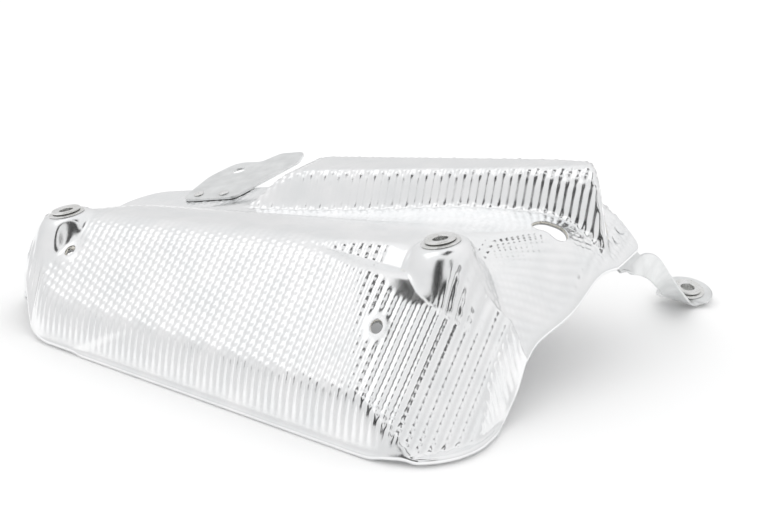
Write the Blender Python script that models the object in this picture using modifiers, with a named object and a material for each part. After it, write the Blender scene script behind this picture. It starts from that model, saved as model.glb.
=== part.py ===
"""Exhaust-manifold heat shield: a pressed, embossed aluminium laminate with its fixings.

Frame: +Z up with z = 0 on the bench the shield rests on, +X from the left top bolt seat to the right
one and +Y to the rear of the shield. The origin is on the bench below the middle of the shield's box.
The constants below are measured from the point of the bench below the middle of the line that joins the
two top bolt seats; one empty, shield_origin, moves the finished shield from there to its origin. Sizes
are in millimetres in this script and are turned into metres where meshes are made.
"""

import math

import bmesh
import bpy
import numpy as np
from mathutils import Matrix, Vector

MM = 0.001

# ---- Driving dimensions (mm) ------------------------------------------------------------------------
# The shield's origin, seen from the point that all positions below are measured from.
ORIGIN = (24.14, 62.705, 0.09)

# Laminate: outer sheet, glass-fibre mat, inner sheet, with a small clearance between the layers.
SHEET_T = 0.5
MAT_T = 0.8
LAYER_GAP = 0.3
MAT_OFFSET = SHEET_T + LAYER_GAP
INNER_OFFSET = MAT_OFFSET + MAT_T + LAYER_GAP
LAMINATE_T = INNER_OFFSET + SHEET_T

# Hem: the outer sheet is rolled round the edge of the other layers.
HEM_R = 1.9
HEM_RETURN = 3.0

# Tub: the top plane, the sloping front face and the steep lower walls. The rim rises a little at both
# ends of the front, so that the rolled hem there stays above the bench.
RIM_Z = 2.0
RIGHT_LIFT = 2.0
LEFT_LIFT = 0.9
FRONT_Y = -67.5
FRONT_SKEW = -0.161
FRONT_COS = 1.0 / math.hypot(1.0, FRONT_SKEW)
TOP_Z = 75.0
TOP_DX = 0.087
TOP_DY = -0.04
WALL_SLOPE = 3.4
BEND_D = 8.0
BEND_Z = WALL_SLOPE * BEND_D
FACE_SLOPE = 0.95

# Bolt seats: M8 studs through floating sleeves. The two top seats are parallel.
SEAT_TILT_X = 0.162
SEAT_TILT_Y = 0.061
SEAT_FLAT_R = 16.4
SEAT_CELL = 11.5
SEAT_HOLE_R = 9.3
LEFT_SEAT = (-126.5, 0.0)
RIGHT_SEAT = (126.5, 0.0)
TOWER_SLOPE = 2.4

# Dome over the rear of the shield.
DOME_Z = 90.0
DOME_DX = 0.11
DOME_SLOPE = 2.6
DOME_FRONT_Y = 67.0
DOME_FRONT_SKEW = 0.04
DOME_LEFT_X = -42.0
DOME_RIGHT_X = 191.0
DOME_END_SLOPE = 4.5
REAR_Y = 131.0
REAR_SLOPE = 2.4
NECK_Z = 74.6
NECK_X = 188.0
NECK_SLOPE = 0.75
NECK_TILT = 0.3
NECK_Y = 86.0

# Holes in the laminate.
SLOT_CENTRE = (165.0, 60.0)
SLOT_R = 7.0
SLOT_HALF_STRAIGHT = 3.5
LOCATING_HOLES = ((-110.0, -19.0), (113.0, -47.5))
LOCATING_R = 3.25

# Brackets and their rivets.
BRACKET_T = 1.5
RIVET_R = 1.6
RIVET_HOLE_R = 1.9
RIVET_HEAD_R = 3.4
RIVET_HEAD_T = 1.1
SIDE_RIVETS = ((194.4, 90.0), (193.0, 98.0))
REAR_RIVETS = ((-100.0, 103.0), (-80.0, 103.0))
SIDE_TAB_OFFSET = 2.0 * HEM_R + 3.0 * LAYER_GAP
REAR_TAB_GAP = 0.4
EYE_CENTRE = (208.5, 197.5, 6.2)
EYE_NORMAL = (0.147, -0.135, 0.98)
EYE_HOLE_R = 9.3

# Floating-sleeve decoupler, one in each bolt seat.
BORE_R = 4.25
SLEEVE_R = 5.05
SLEEVE_FLANGE_R = 8.9
MESH_IN_R = 5.85
MESH_OUT_R = 7.6
RETAINER_IN_R = 8.4
RETAINER_OUT_R = 9.0
RETAINER_FLANGE_R = 11.0
RETAINER_FOOT_R = 10.2
RETAINER_T = 0.5
RETAINER_GAP = 0.35
WASHER_T = 1.2
TURN_STEPS = 20
RIVET_STEPS = 12

# Outline of the shield seen from above: corner points, each with its fillet radius, anticlockwise from
# the left end of the front rim.
OUTLINE = (
    (-119.0, -48.3, 40.0),
    (174.0, -95.5, 42.0),
    (177.0, -10.0, 60.0),
    (176.0, 8.0, 40.0),
    (195.0, 62.0, 24.0),
    (200.5, 74.0, 5.0),
    (204.5, 99.0, 6.0),
    (187.0, 111.0, 14.0),
    (174.0, 131.0, 14.0),
    (-30.0, 131.0, 20.0),
    (-48.0, 114.0, 20.0),
    (-152.0, 114.0, 30.0),
    (-178.0, 44.0, 60.0),
    (-172.0, 7.0, 14.0),
)


# ---- Shape of the pressed sheet ---------------------------------------------------------------------
def smooth_step(t):
    t = np.clip(t, 0.0, 1.0)
    return t * t * (3.0 - 2.0 * t)


def smooth_min(a, b, width):
    h = np.clip(0.5 + 0.5 * (b - a) / width, 0.0, 1.0)
    return b * (1.0 - h) + a * h - width * h * (1.0 - h)


def smooth_max(a, b, width):
    return -smooth_min(-a, -b, width)


def right_rim_z(y):
    """Height of the right rim, which climbs from the bench to the neck in two easy steps."""
    return 20.0 * (1.0 + np.tanh((y + 5.0) / 20.0)) + 18.0 * (1.0 + np.tanh((y - 56.0) / 18.0))


def rear_flange_z(x, y):
    """Plane of the flange at the rear left, on which the rear tab is riveted."""
    return 48.0 + 0.18 * (x + 104.0) + 0.182 * (y - 97.0)


def tub_height(x, y):
    front = (y - FRONT_Y - FRONT_SKEW * x) * FRONT_COS
    corner = 0.727 * (x + 121.0) + 0.686 * (y + 48.0)
    left = 0.98 * (x + 172.0) + 0.204 * (y - 6.0)
    top = TOP_Z + TOP_DX * x + TOP_DY * y
    behind = 66.0 - 0.9 * (0.776 * y - 0.631 * x - 94.5)
    top = top - 8.0 * smooth_step((y - 28.0) / 34.0)
    top = smooth_min(top, behind, 14.0)
    top = smooth_max(top, rear_flange_z(x, y), 8.0)
    face = BEND_Z + FACE_SLOPE * (front - BEND_D)
    left_rim = 44.0 * smooth_step((y - 30.0) / 70.0)
    z = smooth_min(top, face, 10.0)
    wall = smooth_min(WALL_SLOPE * front, WALL_SLOPE * corner, 30.0)
    wall = smooth_min(wall, left_rim + WALL_SLOPE * left, 21.0)
    return smooth_min(z, RIM_Z + wall, 7.0)


def web_height(x, y):
    """The right end of the tub in front of the crease, and the web that carries the neck behind it."""
    end = 76.0 - 1.27 * (0.806 * (x - 141.0) - 0.592 * (y + 3.0))
    rim = right_rim_z(y)
    web = rim + 1.3 * (right_rim_x(y) - x)
    crease_y = -3.0 + 0.1 * (x - 141.0)
    behind = smooth_step((y - crease_y + 1.0) / 4.0)
    lip = rim + WALL_SLOPE * (right_rim_x(y) - x)
    return smooth_min(end * (1.0 - behind) + web * behind, lip, 4.0)


def dome_height(x, y):
    top = DOME_Z + DOME_DX * x
    front = 55.0 + 0.09 * x + DOME_SLOPE * (y - DOME_FRONT_Y - DOME_FRONT_SKEW * x)
    right = 75.0 + DOME_END_SLOPE * (DOME_RIGHT_X - x - 0.5 * (y - 85.0))
    left = 60.0 + 1.0 * (x - DOME_LEFT_X)
    z = smooth_min(front, right, 30.0)
    z = smooth_min(z, left, 10.0)
    return smooth_min(z, top, 9.0)


def seat_plane(seat, x, y):
    cx, cy = seat
    centre = TOP_Z + TOP_DX * cx + TOP_DY * cy
    return centre + SEAT_TILT_X * (x - cx) + SEAT_TILT_Y * (y - cy)


def add_seat(z, seat, x, y, depth, reach):
    """Raise a flat-topped tower for a bolt seat, with a smooth scoop in the sheet in front of it."""
    cx, cy = seat
    r = np.hypot(x - cx, y - cy)
    plane = seat_plane(seat, x, y)
    scoop = plane - depth + 0.28 * (r - 19.0) + np.maximum(y - cy + reach, 0.0)
    z = smooth_min(z, scoop, 3.0)
    z = smooth_max(z, plane - TOWER_SLOPE * np.maximum(r - SEAT_FLAT_R, 0.0), 1.5)
    inside = 1.0 - smooth_step((r - SEAT_FLAT_R) / 3.0)
    return z * (1.0 - inside) + plane * inside


def neck_plane(x, y):
    """The flat end of the neck, right of NECK_X."""
    return NECK_Z - NECK_SLOPE * (x - NECK_X) + NECK_TILT * (y - NECK_Y)


def sheet_height(x, y):
    """Height of the outer face of the outer sheet above the bench."""
    arch = 0.0065 * (38.0 ** 2 - np.clip(x + 38.0 - NECK_X, 0.0, 38.0) ** 2)
    neck = neck_plane(np.maximum(x, NECK_X), NECK_Y + (y - NECK_Y) * smooth_step((x - 165.0) / 28.0)) + arch
    z = smooth_min(tub_height(x, y), neck, 8.0)
    web = web_height(x, y)
    rounding = 0.45 * (1.0 - smooth_step((y - 15.0) / 40.0)) * np.clip(np.minimum(z, web), 0.0, 80.0)
    z = smooth_min(z, web, 10.0 + rounding)
    floor = RIM_Z + RIGHT_LIFT * smooth_step((x - 115.0) / 40.0)
    floor = floor + LEFT_LIFT * smooth_step((-150.0 - x) / 20.0)
    z = smooth_max(z, floor, 2.0)
    z = smooth_max(z, dome_height(x, y), 5.0)
    rear = 62.0 + 0.02 * x + REAR_SLOPE * (REAR_Y - y)
    z = smooth_min(z, rear, 12.0)
    z = add_seat(z, LEFT_SEAT, x, y, 8.0, 10.0)
    return add_seat(z, RIGHT_SEAT, x, y, 11.0, 12.0)


def sheet_normal(x, y):
    step = 0.4
    dx = (sheet_height(x + step, y) - sheet_height(x - step, y)) / (2.0 * step)
    dy = (sheet_height(x, y + step) - sheet_height(x, y - step)) / (2.0 * step)
    n = np.stack([-dx, -dy, np.ones_like(dx)], axis=-1)
    return n / np.linalg.norm(n, axis=-1, keepdims=True)


# ---- Outline ----------------------------------------------------------------------------------------
def filleted(corners, arc_step=math.radians(6.0)):
    """Points of a closed polygon whose corners are replaced by tangent arcs."""
    points = []
    count = len(corners)
    for k, (x, y, radius) in enumerate(corners):
        here = np.array([x, y])
        before = np.array(corners[k - 1][:2]) - here
        after = np.array(corners[(k + 1) % count][:2]) - here
        before /= np.linalg.norm(before)
        after /= np.linalg.norm(after)
        half = 0.5 * math.acos(float(np.clip(before @ after, -1.0, 1.0)))
        start = here + before * radius / math.tan(half)
        centre = here + (before + after) / np.linalg.norm(before + after) * radius / math.sin(half)
        turn = math.pi - 2.0 * half
        side = 1.0 if before[0] * after[1] - before[1] * after[0] < 0.0 else -1.0
        steps = max(2, round(turn / arc_step))
        arm = start - centre
        for s in range(steps + 1):
            a = side * turn * s / steps
            c, sn = math.cos(a), math.sin(a)
            points.append(centre + np.array([c * arm[0] - sn * arm[1], sn * arm[0] + c * arm[1]]))
    return np.array(points)


def filled_in(points, spacing):
    """The same closed polygon with further points along its long straight stretches."""
    out = []
    for here, after in zip(points, np.roll(points, -1, axis=0)):
        parts = max(1, math.ceil(np.linalg.norm(after - here) / spacing))
        out += [here + (after - here) * k / parts for k in range(parts)]
    return np.array(out)


RIM = filled_in(filleted(OUTLINE), 3.0)


def rim_side(start, end):
    """The stretch of the outline from the point nearest start to the point nearest end."""
    a = int(np.argmin(np.hypot(*(RIM - start).T)))
    b = int(np.argmin(np.hypot(*(RIM - end).T)))
    index = np.arange(a, b + 1 if b > a else b + 1 + len(RIM)) % len(RIM)
    return RIM[index]


CORNER_FL = np.array([-172.0, 7.0])
CORNER_FR = np.array([160.0, -80.0])
CORNER_BR = np.array([175.0, 128.0])
CORNER_BL = np.array([-158.0, 104.0])
FRONT_SIDE = rim_side(CORNER_FL, CORNER_FR)
RIGHT_SIDE = rim_side(CORNER_FR, CORNER_BR)
BACK_SIDE = rim_side(CORNER_BR, CORNER_BL)[::-1]
LEFT_SIDE = rim_side(CORNER_BL, CORNER_FL)[::-1]


def right_rim_x(y):
    return np.interp(y, RIGHT_SIDE[:, 1], RIGHT_SIDE[:, 0])


def plan_grid(columns, front_rows, back_rows):
    """Plan positions of a grid that fits the outline and runs square through both bolt seats.

    columns are x positions at the seats; front_rows run 0..1 from the front rim to the seats' front
    line, and back_rows run 0..1 from the seats' rear line to the rear rim. Left of the left seat the
    two lines fan backwards, which leaves room for the rows at the chamfered corner.
    """
    xs = np.array(columns)
    seat_left, seat_right = LEFT_SEAT[0] - SEAT_CELL, RIGHT_SEAT[0] + SEAT_CELL
    to_left = smooth_step((seat_left - xs) / (seat_left - xs[0]))
    fan = LEFT_FAN * to_left

    def squeezed(left_x, right_x):
        left_scale = (seat_left - left_x) / (seat_left - xs[0])
        right_scale = (right_x - seat_right) / (xs[-1] - seat_right)
        out = np.where(xs < seat_left, seat_left - (seat_left - xs) * left_scale, xs)
        return np.where(xs > seat_right, seat_right + (xs - seat_right) * right_scale, out)

    front_x = squeezed(FRONT_SIDE[0, 0], FRONT_SIDE[-1, 0])
    front_y = np.interp(front_x, FRONT_SIDE[:, 0], FRONT_SIDE[:, 1])
    back_x = squeezed(BACK_SIDE[0, 0], BACK_SIDE[-1, 0])
    back_y = np.interp(back_x, BACK_SIDE[:, 0], BACK_SIDE[:, 1])
    even = np.linspace(0.0, 1.0, len(front_rows))
    shares = [f + (e - f) * to_left for f, e in zip(front_rows, even)]
    rows = [front_y + (fan - SEAT_CELL - front_y) * share for share in shares]
    rows += [fan + SEAT_CELL + (back_y - fan - SEAT_CELL) * f for f in back_rows]
    grid = []
    for y in rows:
        left_x = np.interp(y[0], LEFT_SIDE[:, 1], LEFT_SIDE[:, 0])
        right_x = right_rim_x(y[-1])
        grid.append(np.stack([squeezed(left_x, right_x), y], axis=-1))
    grid[0] = np.stack([front_x, front_y], axis=-1)
    grid[-1] = np.stack([back_x, back_y], axis=-1)
    return np.array(grid)


LEFT_FAN = 35.0
COLUMNS = (-175.0, -168.0, -159.0, -148.0, -138.0, -127.0, -115.0, -97.0, -76.0, -57.0, -42.0, -31.0, -18.0, 0.0,
           28.0, 58.0, 86.0, 101.0, 115.0, 127.0, 138.0, 146.0, 157.0, 168.0, 180.0, 189.0, 196.0, 203.0)
FRONT_ROWS = (0.0, 0.075, 0.16, 0.36, 0.6, 0.8, 1.0)
BACK_ROWS = (0.0, 0.16, 0.3, 0.42, 0.49, 0.55, 0.61, 0.69, 0.76, 0.84, 0.9, 0.96, 1.0)
PLAN = plan_grid(COLUMNS, FRONT_ROWS, BACK_ROWS)


# ---- Blender helpers --------------------------------------------------------------------------------
def material(name, colour, roughness, metallic):
    mat = bpy.data.materials.new(name)
    mat.use_nodes = True
    shader = mat.node_tree.nodes["Principled BSDF"]
    shader.inputs["Base Color"].default_value = (*colour, 1.0)
    shader.inputs["Roughness"].default_value = roughness
    shader.inputs["Metallic"].default_value = metallic
    return mat


def add_object(name, mesh, collection, mat=None):
    obj = bpy.data.objects.new(name, mesh)
    collection.objects.link(obj)
    if mat:
        mesh.materials.append(mat)
    return obj


def mesh_from(bm, name):
    mesh = bpy.data.meshes.new(name)
    bm.to_mesh(mesh)
    bm.free()
    return mesh


def grid_surface(points, keep=None):
    """A Blender grid moved onto a rectangular array of points; keep marks the points that stay."""
    rows, cols = points.shape[:2]
    bm = bmesh.new()
    bmesh.ops.create_grid(bm, x_segments=cols - 1, y_segments=rows - 1, size=1.0)
    lost = []
    for vert in bm.verts:
        i = round((vert.co.x + 1.0) / 2.0 * (cols - 1))
        j = round((vert.co.y + 1.0) / 2.0 * (rows - 1))
        vert.co = Vector(points[j, i]) * MM
        if keep is not None and not keep[j, i]:
            lost.append(vert)
    bmesh.ops.delete(bm, geom=lost, context="VERTS")
    bm.normal_update()
    return bm


def triangulate(bm):
    """Fix the diagonals, so that every layer made from the surface folds along the same lines."""
    bmesh.ops.triangulate(bm, faces=bm.faces, quad_method="SHORT_EDGE")


def solidify(obj, thickness, below=0.0):
    """Give a surface its thickness downwards, starting at a distance below the surface itself."""
    mod = obj.modifiers.new("thickness", "SOLIDIFY")
    mod.thickness = thickness * MM
    mod.offset = -1.0 - 2.0 * below / thickness


def cut(obj, cutter):
    mod = obj.modifiers.new("holes", "BOOLEAN")
    mod.operation = "DIFFERENCE"
    mod.solver = "EXACT"
    mod.object = cutter


def seat_matrix(centre, normal):
    """Placement whose Z is the bolt axis and whose X is as near world X as the axis allows."""
    z = Vector(normal).normalized()
    x = (Vector((1.0, 0.0, 0.0)) - z * z.x).normalized()
    y = z.cross(x)
    turn = Matrix((x, y, z)).transposed().to_4x4()
    return Matrix.Translation(Vector(centre) * MM) @ turn


def turned(name, profile, parent, collection, mat, closed, steps=TURN_STEPS):
    """A ring or pin turned from an (r, z) profile that runs down its outer side."""
    bm = bmesh.new()
    verts = [bm.verts.new((r * MM, 0.0, z * MM)) for r, z in profile]
    for a, b in zip(verts, verts[1:]):
        bm.edges.new((a, b))
    if closed:
        bm.edges.new((verts[-1], verts[0]))
    obj = add_object(name, mesh_from(bm, name), collection, mat)
    obj.parent = parent
    mod = obj.modifiers.new("turn", "SCREW")
    mod.steps = steps
    mod.render_steps = steps
    mod.use_merge_vertices = True
    mod.merge_threshold = 0.000001
    mod.use_smooth_shade = True
    return obj


# ---- Cutters ----------------------------------------------------------------------------------------
def add_rod(bm, matrix, radius, half_length, stretch=0.0, segments=20):
    """A rod for cutting a round hole, or an oblong one when its ends are moved apart by stretch."""
    made = bmesh.ops.create_cone(bm, cap_ends=True, segments=segments, radius1=radius * MM,
                                 radius2=radius * MM, depth=2.0 * half_length * MM)
    for vert in made["verts"]:
        if abs(vert.co.x) > 0.01 * MM:
            vert.co.x += math.copysign(stretch * MM, vert.co.x)
        vert.co = matrix @ vert.co


def sheet_axis(x, y):
    z = float(sheet_height(np.array(x), np.array(y)))
    return seat_matrix((x, y, z), sheet_normal(np.array(x), np.array(y)))


def add_cutter(name, collection, holes):
    """One object that holds every rod in holes, each given as its arguments for add_rod."""
    bm = bmesh.new()
    for hole in holes:
        add_rod(bm, *hole)
    cutter = add_object(name, mesh_from(bm, name), collection)
    cutter.hide_render = True
    cutter.display_type = "WIRE"
    return cutter


# ---- Laminate ---------------------------------------------------------------------------------------
def sheet_points():
    """The grid on the outer face of the outer sheet."""
    x, y = PLAN[..., 0], PLAN[..., 1]
    return np.stack([x, y, sheet_height(x, y)], axis=-1)


def border(array):
    """The outermost ring of a grid, anticlockwise seen from above."""
    return np.concatenate([array[0, :-1], array[:-1, -1], array[-1, :0:-1], array[:0:-1, 0]])


def hem_rings(normals):
    """Rings of points that roll the outer sheet's rim outward, down and back in under the laminate.

    normals are the sheet's own at its grid points, so the hem stays parallel to the layers it holds.
    """
    points = sheet_points()
    edge, normal = border(points), border(normals)
    next_in = border(np.pad(points[1:-1, 1:-1], ((1, 1), (1, 1), (0, 0)), mode="edge"))
    normal_in = border(np.pad(normals[1:-1, 1:-1], ((1, 1), (1, 1), (0, 0)), mode="edge"))
    back = HEM_RETURN / np.linalg.norm(edge - next_in, axis=-1, keepdims=True)
    out = np.cross(np.roll(edge, -1, axis=0) - np.roll(edge, 1, axis=0), normal)
    out /= np.linalg.norm(out, axis=-1, keepdims=True)
    rings = []
    for angle in (60.0, 120.0):
        c, s = math.cos(math.radians(angle)), math.sin(math.radians(angle))
        rings.append(edge + HEM_R * ((c - 1.0) * normal + s * out))
    under, under_in = edge - 2.0 * HEM_R * normal, next_in - 2.0 * HEM_R * normal_in
    rings += [under, under + (under_in - under) * back]
    return edge, rings


def make_outer_sheet(collection, mat, cutter):
    bm = grid_surface(sheet_points())
    triangulate(bm)
    bm.normal_update()
    rows, cols = PLAN.shape[:2]
    normals = np.array([v.normal for v in bm.verts]).reshape(rows, cols, 3)
    edge, rings = hem_rings(normals)
    keys = [tuple(np.round(p * 10.0).astype(int)) for p in edge]
    order = {key: k for k, key in enumerate(keys)}
    here = {v: order[tuple(round(c / MM * 10.0) for c in v.co)] for v in bm.verts if v.is_boundary}
    edges = [e for e in bm.edges if e.is_boundary]
    for ring in rings:
        made = bmesh.ops.extrude_edge_only(bm, edges=edges)["geom"]
        verts = [g for g in made if isinstance(g, bmesh.types.BMVert)]
        edges = [g for g in made if isinstance(g, bmesh.types.BMEdge)]
        moved = {}
        for vert in verts:
            old = next(e.other_vert(vert) for e in vert.link_edges if e.other_vert(vert) in here)
            moved[vert] = here[old]
        for vert, k in moved.items():
            vert.co = Vector(ring[k]) * MM
        here = moved
    triangulate(bm)
    obj = add_object("outer_sheet", mesh_from(bm, "outer_sheet"), collection, mat)
    solidify(obj, SHEET_T)
    cut(obj, cutter)
    return obj


def make_layer(name, offset, thickness, collection, mat, cutter):
    bm = grid_surface(sheet_points())
    triangulate(bm)
    obj = add_object(name, mesh_from(bm, name), collection, mat)
    solidify(obj, thickness, offset)
    cut(obj, cutter)
    return obj


# ---- Floating-sleeve decoupler ----------------------------------------------------------------------
def make_decoupler(side, matrix, seat_t, collection, mats):
    """The four turned pieces that hold a bolt so that it can float and so that the shield can grow.

    z = 0 is the face the retainer's upper flange stands on, and seat_t is the thickness it grips.
    """
    axis = bpy.data.objects.new(side + "_seat_axis", None)
    collection.objects.link(axis)
    axis.matrix_world = matrix
    top = RETAINER_GAP + RETAINER_T
    low = -seat_t - top
    retainer = (
        (RETAINER_FLANGE_R, top),
        (RETAINER_FLANGE_R, RETAINER_GAP),
        (RETAINER_OUT_R, RETAINER_GAP),
        (RETAINER_OUT_R, low + RETAINER_T),
        (RETAINER_FOOT_R, low + RETAINER_T),
        (RETAINER_FOOT_R, low),
        (RETAINER_IN_R, low),
        (RETAINER_IN_R, top),
    )
    turned(side + "_retainer_ring", retainer, axis, collection, mats["steel"], True)
    mesh_top, mesh_low = top + 0.4, low - 0.4
    mesh = ((MESH_OUT_R, mesh_top), (MESH_OUT_R, mesh_low), (MESH_IN_R, mesh_low), (MESH_IN_R, mesh_top))
    turned(side + "_mesh_ring", mesh, axis, collection, mats["mesh"], True)
    flange = mesh_top + LAYER_GAP
    flange_t = 1.0
    foot = mesh_low - LAYER_GAP - WASHER_T
    sleeve = (
        (SLEEVE_FLANGE_R - 0.5, flange + flange_t + 0.5),
        (SLEEVE_FLANGE_R, flange + flange_t),
        (SLEEVE_FLANGE_R, flange),
        (SLEEVE_R, flange),
        (SLEEVE_R, foot),
        (BORE_R, foot),
        (BORE_R, flange + flange_t),
        (SLEEVE_FLANGE_R - 1.4, flange + flange_t),
    )
    turned(side + "_sleeve", sleeve, axis, collection, mats["steel"], True)
    hole = SLEEVE_R + LAYER_GAP
    washer = (
        (SLEEVE_FLANGE_R, foot + WASHER_T),
        (SLEEVE_FLANGE_R, foot),
        (hole, foot),
        (hole, foot + WASHER_T),
    )
    turned(side + "_lower_washer", washer, axis, collection, mats["steel"], True)


def make_rivet(name, matrix, top, bottom, collection, mat):
    """A round-headed rivet; top and bottom are the outer faces that its heads stand on."""
    head = RIVET_HEAD_R
    low_head = RIVET_HEAD_R - 0.5
    profile = (
        (0.0, top + RIVET_HEAD_T),
        (0.55 * head, top + 0.85 * RIVET_HEAD_T),
        (head, top + 0.2),
        (head, top),
        (RIVET_R, top),
        (RIVET_R, bottom),
        (low_head, bottom),
        (low_head, bottom - 0.9),
        (0.0, bottom - 0.9),
    )
    axis = bpy.data.objects.new(name + "_axis", None)
    collection.objects.link(axis)
    axis.matrix_world = matrix
    turned(name, profile, axis, collection, mat, False, RIVET_STEPS)


# ---- Side bracket: a tab under the neck and a strap that hangs from it and twists to a flat eye -------
EYE_R = 16.0
EYE_FLAT = 13.5
TAB_YS = (79.0, 90.0, 101.0)
TAB_REACH = (3.0, 6.5, 10.0, 14.0)
BEND_LINE = ((200.5, 79.0), (204.0, 101.0))
STRAP_UPPER = ((206.5, 109.0, 59.0), (209.5, 119.0, 54.0), (213.0, 137.0, 38.0), (217.5, 157.0, 19.0))
STRAP_LOWER = ((203.5, 81.0, 50.0), (204.5, 88.0, 44.5), (205.5, 98.0, 43.5), (206.0, 107.0, 41.0),
               (205.0, 120.0, 34.0), (201.0, 139.0, 22.0), (196.0, 160.0, 12.5))


def tab_height(x, y):
    """Height of the tab's underside: a plane below the neck that clears the hem."""
    return neck_plane(x, y) - (SIDE_TAB_OFFSET + BRACKET_T) * math.hypot(1.0, NECK_SLOPE, NECK_TILT)


def eye_plane_z(x, y):
    cx, cy, cz = EYE_CENTRE
    nx, ny, nz = EYE_NORMAL
    return cz - (nx * (x - cx) + ny * (y - cy)) / nz


def strap_points():
    """Rows of points from the neck to the eye, each running from the strap's lower to its upper edge."""
    (x0, y0), (x1, y1) = BEND_LINE
    upper = []
    for y in TAB_YS:
        x = x0 + (x1 - x0) * (y - y0) / (y1 - y0)
        upper.append((x, y, tab_height(x, y)))
    upper += STRAP_UPPER
    lower = list(STRAP_LOWER)
    cx, cy = EYE_CENTRE[:2]
    for along in (-EYE_FLAT, -7.0, 0.0, 6.0, 11.0, 14.5, 15.9):
        half = math.sqrt(EYE_R ** 2 - max(along, 0.0) ** 2)
        for edge, side in ((lower, -half), (upper, half)):
            edge.append((cx + side, cy + along, eye_plane_z(cx + side, cy + along)))
    across = np.linspace(0.0, 1.0, 5)[None, :, None]
    return np.array(lower)[:, None, :] * (1.0 - across) + np.array(upper)[:, None, :] * across


def make_side_bracket(collection, mat, cutter):
    web = strap_points()
    tab = []
    for row in web:
        y = float(np.clip(row[-1][1], TAB_YS[0], TAB_YS[-1]))
        xs = row[-1][0] - np.array(TAB_REACH)
        ys = np.full_like(xs, y)
        tab.append(np.stack([xs, ys, tab_height(xs, ys)], axis=-1))
    points = np.concatenate([web, np.array(tab)], axis=1)
    keep = np.ones(points.shape[:2], dtype=bool)
    keep[len(TAB_YS):, web.shape[1]:] = False
    bm = grid_surface(points, keep)
    triangulate(bm)
    obj = add_object("side_bracket", mesh_from(bm, "side_bracket"), collection, mat)
    solidify(obj, BRACKET_T)
    cut(obj, cutter)
    return obj


# ---- Rear tab: a flat stamped plate with a hole, riveted on the rear left flange -----------------------
REAR_TAB_OUTLINE = (
    (-110.0, 95.0, 8.0),
    (-68.0, 97.0, 8.0),
    (-50.0, 150.0, 8.0),
    (-55.0, 167.0, 7.0),
    (-74.0, 166.0, 6.0),
    (-82.0, 153.0, 6.0),
    (-102.0, 154.0, 11.0),
    (-111.0, 132.0, 20.0),
)
REAR_TAB_HOLE = (-92.0, 140.0)
REAR_TAB_HOLE_R = 4.5


def rear_tab_axis(x, y):
    """Placement square to the tab's underside at a point of the plan."""
    normal = np.array([-0.18, -0.182, 1.0])
    return seat_matrix((x, y, float(rear_flange_z(x, y)) + REAR_TAB_GAP), normal)


def make_rear_tab(collection, mat, cutter):
    points = filleted(REAR_TAB_OUTLINE, math.radians(20.0))
    bm = bmesh.new()
    made = bmesh.ops.create_circle(bm, cap_ends=True, segments=len(points), radius=1.0)
    verts = sorted(made["verts"], key=lambda v: math.atan2(v.co.y, v.co.x))
    for vert, (x, y) in zip(verts, points):
        vert.co = Vector((x, y, float(rear_flange_z(x, y)) + REAR_TAB_GAP)) * MM
    bm.normal_update()
    if next(iter(bm.faces)).normal.z > 0.0:
        bmesh.ops.reverse_faces(bm, faces=bm.faces)
    obj = add_object("rear_tab", mesh_from(bm, "rear_tab"), collection, mat)
    solidify(obj, BRACKET_T)
    cut(obj, cutter)
    return obj


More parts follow.
